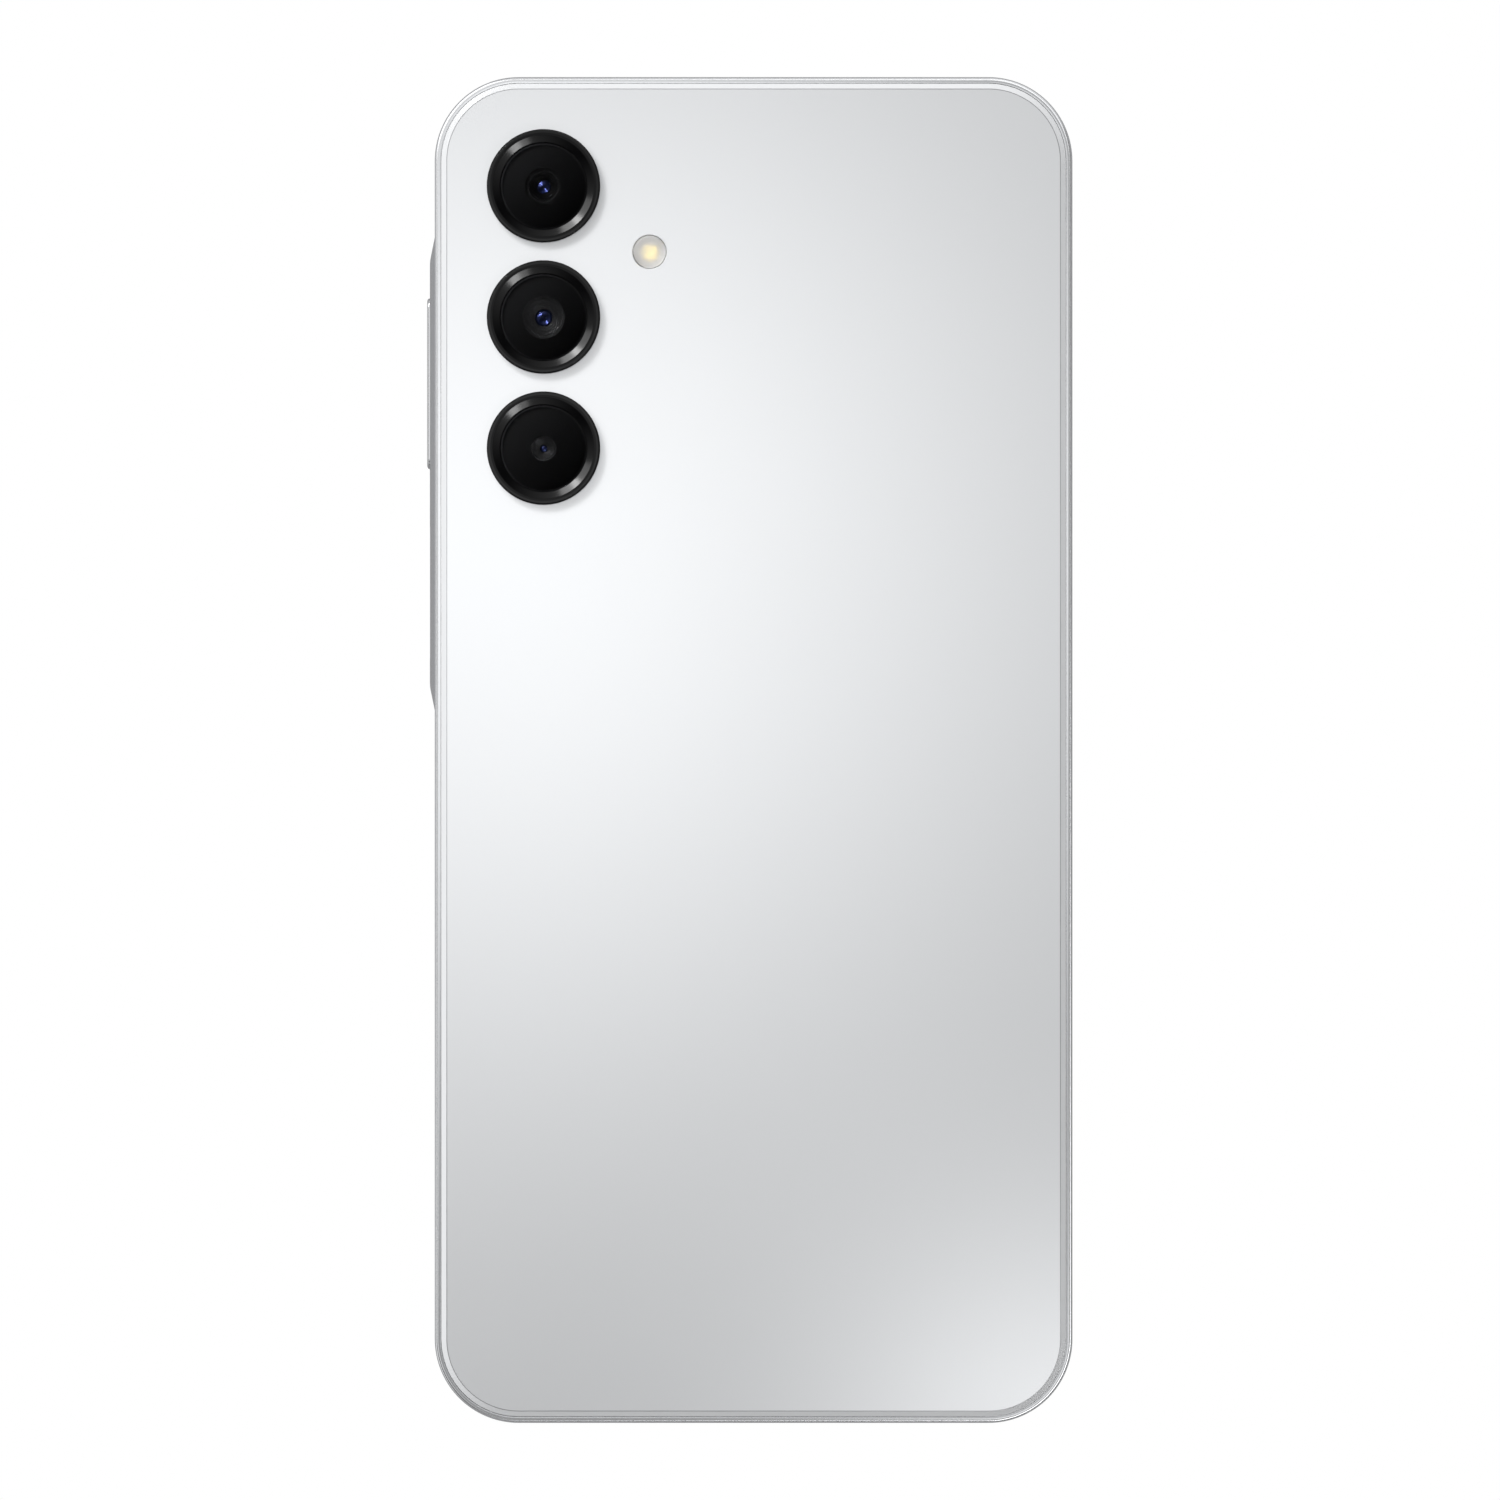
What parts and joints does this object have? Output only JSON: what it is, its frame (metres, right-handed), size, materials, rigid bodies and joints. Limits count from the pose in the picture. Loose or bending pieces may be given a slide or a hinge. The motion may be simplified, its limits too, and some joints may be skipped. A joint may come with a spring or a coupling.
{
  "type": "smartphone",
  "caption": "Slim bar smartphone with three separate camera rings, a flash, a raised key island on one side, a sliding card tray, and its display, battery and boards inside.",
  "frame": {"origin": "centre of the display glass's outer face, which the phone lies on", "axes": "+Z through the thickness and out of the rear panel, +Y to the phone's top edge, +X to the card tray's side, with the keys on the -X side"},
  "size_m": [0.0789, 0.1644, 0.009],
  "materials": {
    "silver_plastic": "glossy silver-grey lacquered plastic",
    "silver_panel": "high-gloss silver plastic panel under a clear coat",
    "front_glass": "clear strengthened glass with a black printed border",
    "display": "near-black display that is switched off",
    "black_tape": "black foam adhesive tape",
    "fine_mesh": "fine black woven mesh",
    "flex_circuit": "amber polyimide film",
    "plate_alloy": "bead-blasted light alloy",
    "copper_coil": "bare copper",
    "black_ring_metal": "black polished metal",
    "camera_window": "clear coated glass",
    "black_ink": "black print on the glass's inner face",
    "camera_black": "black moulded plastic",
    "lens_glass": "coated lens glass",
    "flash_window": "frosted clear plastic",
    "flash_phosphor": "yellow phosphor",
    "circuit_board": "dark green solder mask",
    "shield_steel": "thin pressed steel",
    "spring_steel": "bright spring steel",
    "chip_black": "moulded chip packages",
    "connector_plastic": "moulded connector bodies",
    "sensor_metal": "gold-plated metal",
    "black_plastic": "black moulded plastic",
    "screw_steel": "dark plated steel",
    "battery_pouch": "dark foil pouch",
    "cable_sleeve": "black coaxial cable sleeve",
    "rotor_alloy": "dense tungsten alloy",
    "diaphragm_film": "thin moulded film",
    "sensor_face": "hard-coated silver sensor face",
    "seal_rubber": "grey silicone rubber"
  },
  "bodies": {
    "root": {"side_frame": "silver_plastic", "cover_glass": "front_glass", "display_panel": "display", "display_tape": "black_tape", "earpiece_mesh": "fine_mesh", "display_flex": "flex_circuit", "mid_plate": "plate_alloy", "rear_panel": "silver_panel", "rear_panel_tape": "black_tape", "nfc_coil": "copper_coil", "lens_masks": "black_ink", "main_camera_module": "camera_black", "front_camera_module": "camera_black", "fixed_lenses": "lens_glass", "flash_lens": "flash_window", "flash_led": "flash_phosphor", "main_board": "circuit_board", "shield_cans": "shield_steel", "board_chips": "chip_black", "board_connectors": "connector_plastic", "earpiece_receiver": "black_plastic", "microphones": "sensor_metal", "upper_cover": "black_plastic", "lower_cover": "black_plastic", "cover_screws": "screw_steel", "battery": "battery_pouch", "battery_flex": "flex_circuit", "interconnect_flex": "flex_circuit", "antenna_cable": "cable_sleeve", "sub_board": "circuit_board", "usb_port_shell": "shield_steel", "usb_port_tongue": "black_plastic", "usb_contacts": "sensor_metal", "vibration_motor_can": "shield_steel", "speaker_box": "black_plastic", "speaker_motor": "shield_steel", "speaker_mesh": "fine_mesh", "key_domes": "spring_steel", "key_flex": "flex_circuit", "key_bracket": "spring_steel", "sim_socket": "shield_steel", "eject_lever": "spring_steel", "eject_rod": "spring_steel", "lens_ring_upper": "black_ring_metal", "lens_ring_middle": "black_ring_metal", "lens_ring_lower": "black_ring_metal", "lens_window_upper": "camera_window", "lens_window_middle": "camera_window", "lens_window_lower": "camera_window", "wide_camera_module": "camera_black", "macro_camera_module": "camera_black"},
    "volume_key": {"volume_key": "silver_plastic"},
    "power_key": {"power_key": "silver_plastic", "fingerprint_sensor": "sensor_face"},
    "card_tray": {"sim_tray": "silver_plastic", "sim_tray_seal": "seal_rubber"},
    "focus_barrel": {"focus_barrel": "camera_black", "main_lens": "lens_glass"},
    "vibration_rotor": {"vibration_rotor": "rotor_alloy"},
    "speaker_diaphragm": {"speaker_diaphragm": "diaphragm_film"}
  },
  "joints": [
    {"name": "volume_rock", "type": "hinge", "parent": "root", "child": "volume_key", "pos_m": [-0.0368, 0.04488, 0.004], "axis": [0, 0, 1], "range_deg": [-1.3, 1.3], "stiffness_Nm_per_rad": 0.45, "deforming": ["key_domes"]},
    {"name": "power_press", "type": "slide", "parent": "root", "child": "power_key", "axis": [1, 0, 0], "range_m": [0, 0.0002], "stiffness_N_per_m": 8000, "deforming": ["key_domes"]},
    {"name": "tray_slide", "type": "slide", "parent": "root", "child": "card_tray", "axis": [1, 0, 0], "range_m": [0, 0.0275]},
    {"name": "focus_slide", "type": "slide", "parent": "root", "child": "focus_barrel", "axis": [0, 0, 1], "range_m": [0, 0.0003], "stiffness_N_per_m": 200},
    {"name": "rotor_spin", "type": "hinge", "parent": "root", "child": "vibration_rotor", "pos_m": [0.0265, -0.0705, 0.0035], "axis": [0, 0, 1], "continuous": true},
    {"name": "diaphragm_slide", "type": "slide", "parent": "root", "child": "speaker_diaphragm", "axis": [0, 0, 1], "range_m": [-0.0002, 0.0002], "stiffness_N_per_m": 1000}
  ]
}
